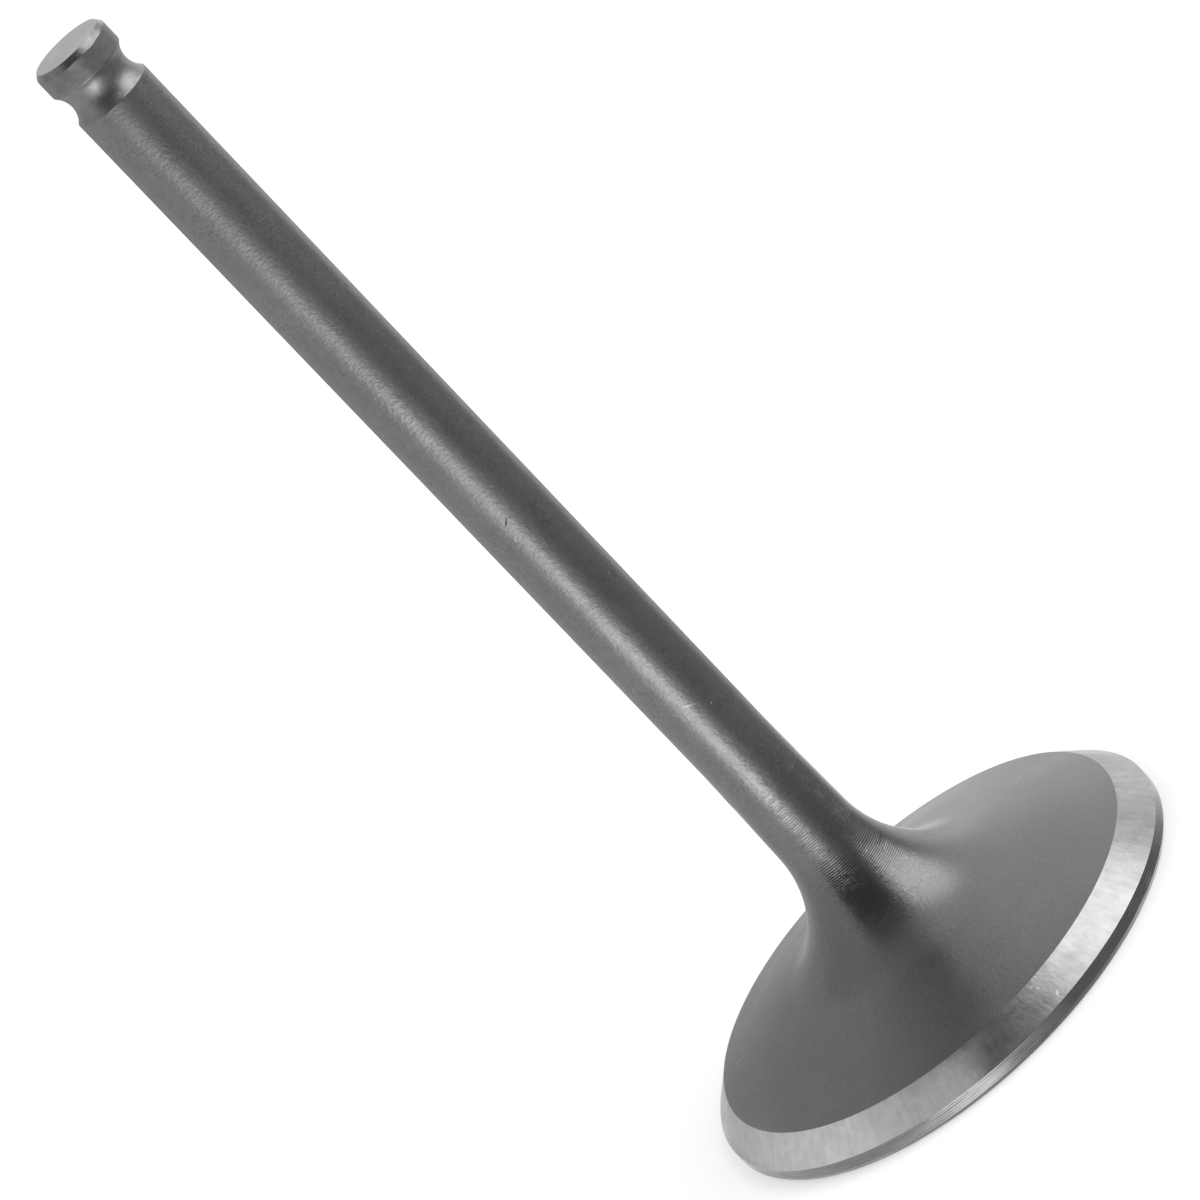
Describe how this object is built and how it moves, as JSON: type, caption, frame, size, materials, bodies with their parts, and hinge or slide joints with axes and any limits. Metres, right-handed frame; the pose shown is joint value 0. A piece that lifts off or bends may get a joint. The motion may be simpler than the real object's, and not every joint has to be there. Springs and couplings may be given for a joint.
{
  "type": "engine valve",
  "caption": "Tulip-head poppet valve with a ground stem, a 45 degree seat face and one round keeper groove near the tip.",
  "frame": {"origin": "centre of the combustion face, the flat underside of the head", "axes": "+Z along the stem axis from the combustion face to the tip; X and Y are free, because the valve is round"},
  "size_m": [0.0538, 0.0538, 0.125],
  "materials": {
    "valve_steel": "satin turned head and neck, matt ground stem, bright ground seat and tip"
  },
  "bodies": {
    "root": {"valve": "valve_steel"}
  },
  "joints": []
}
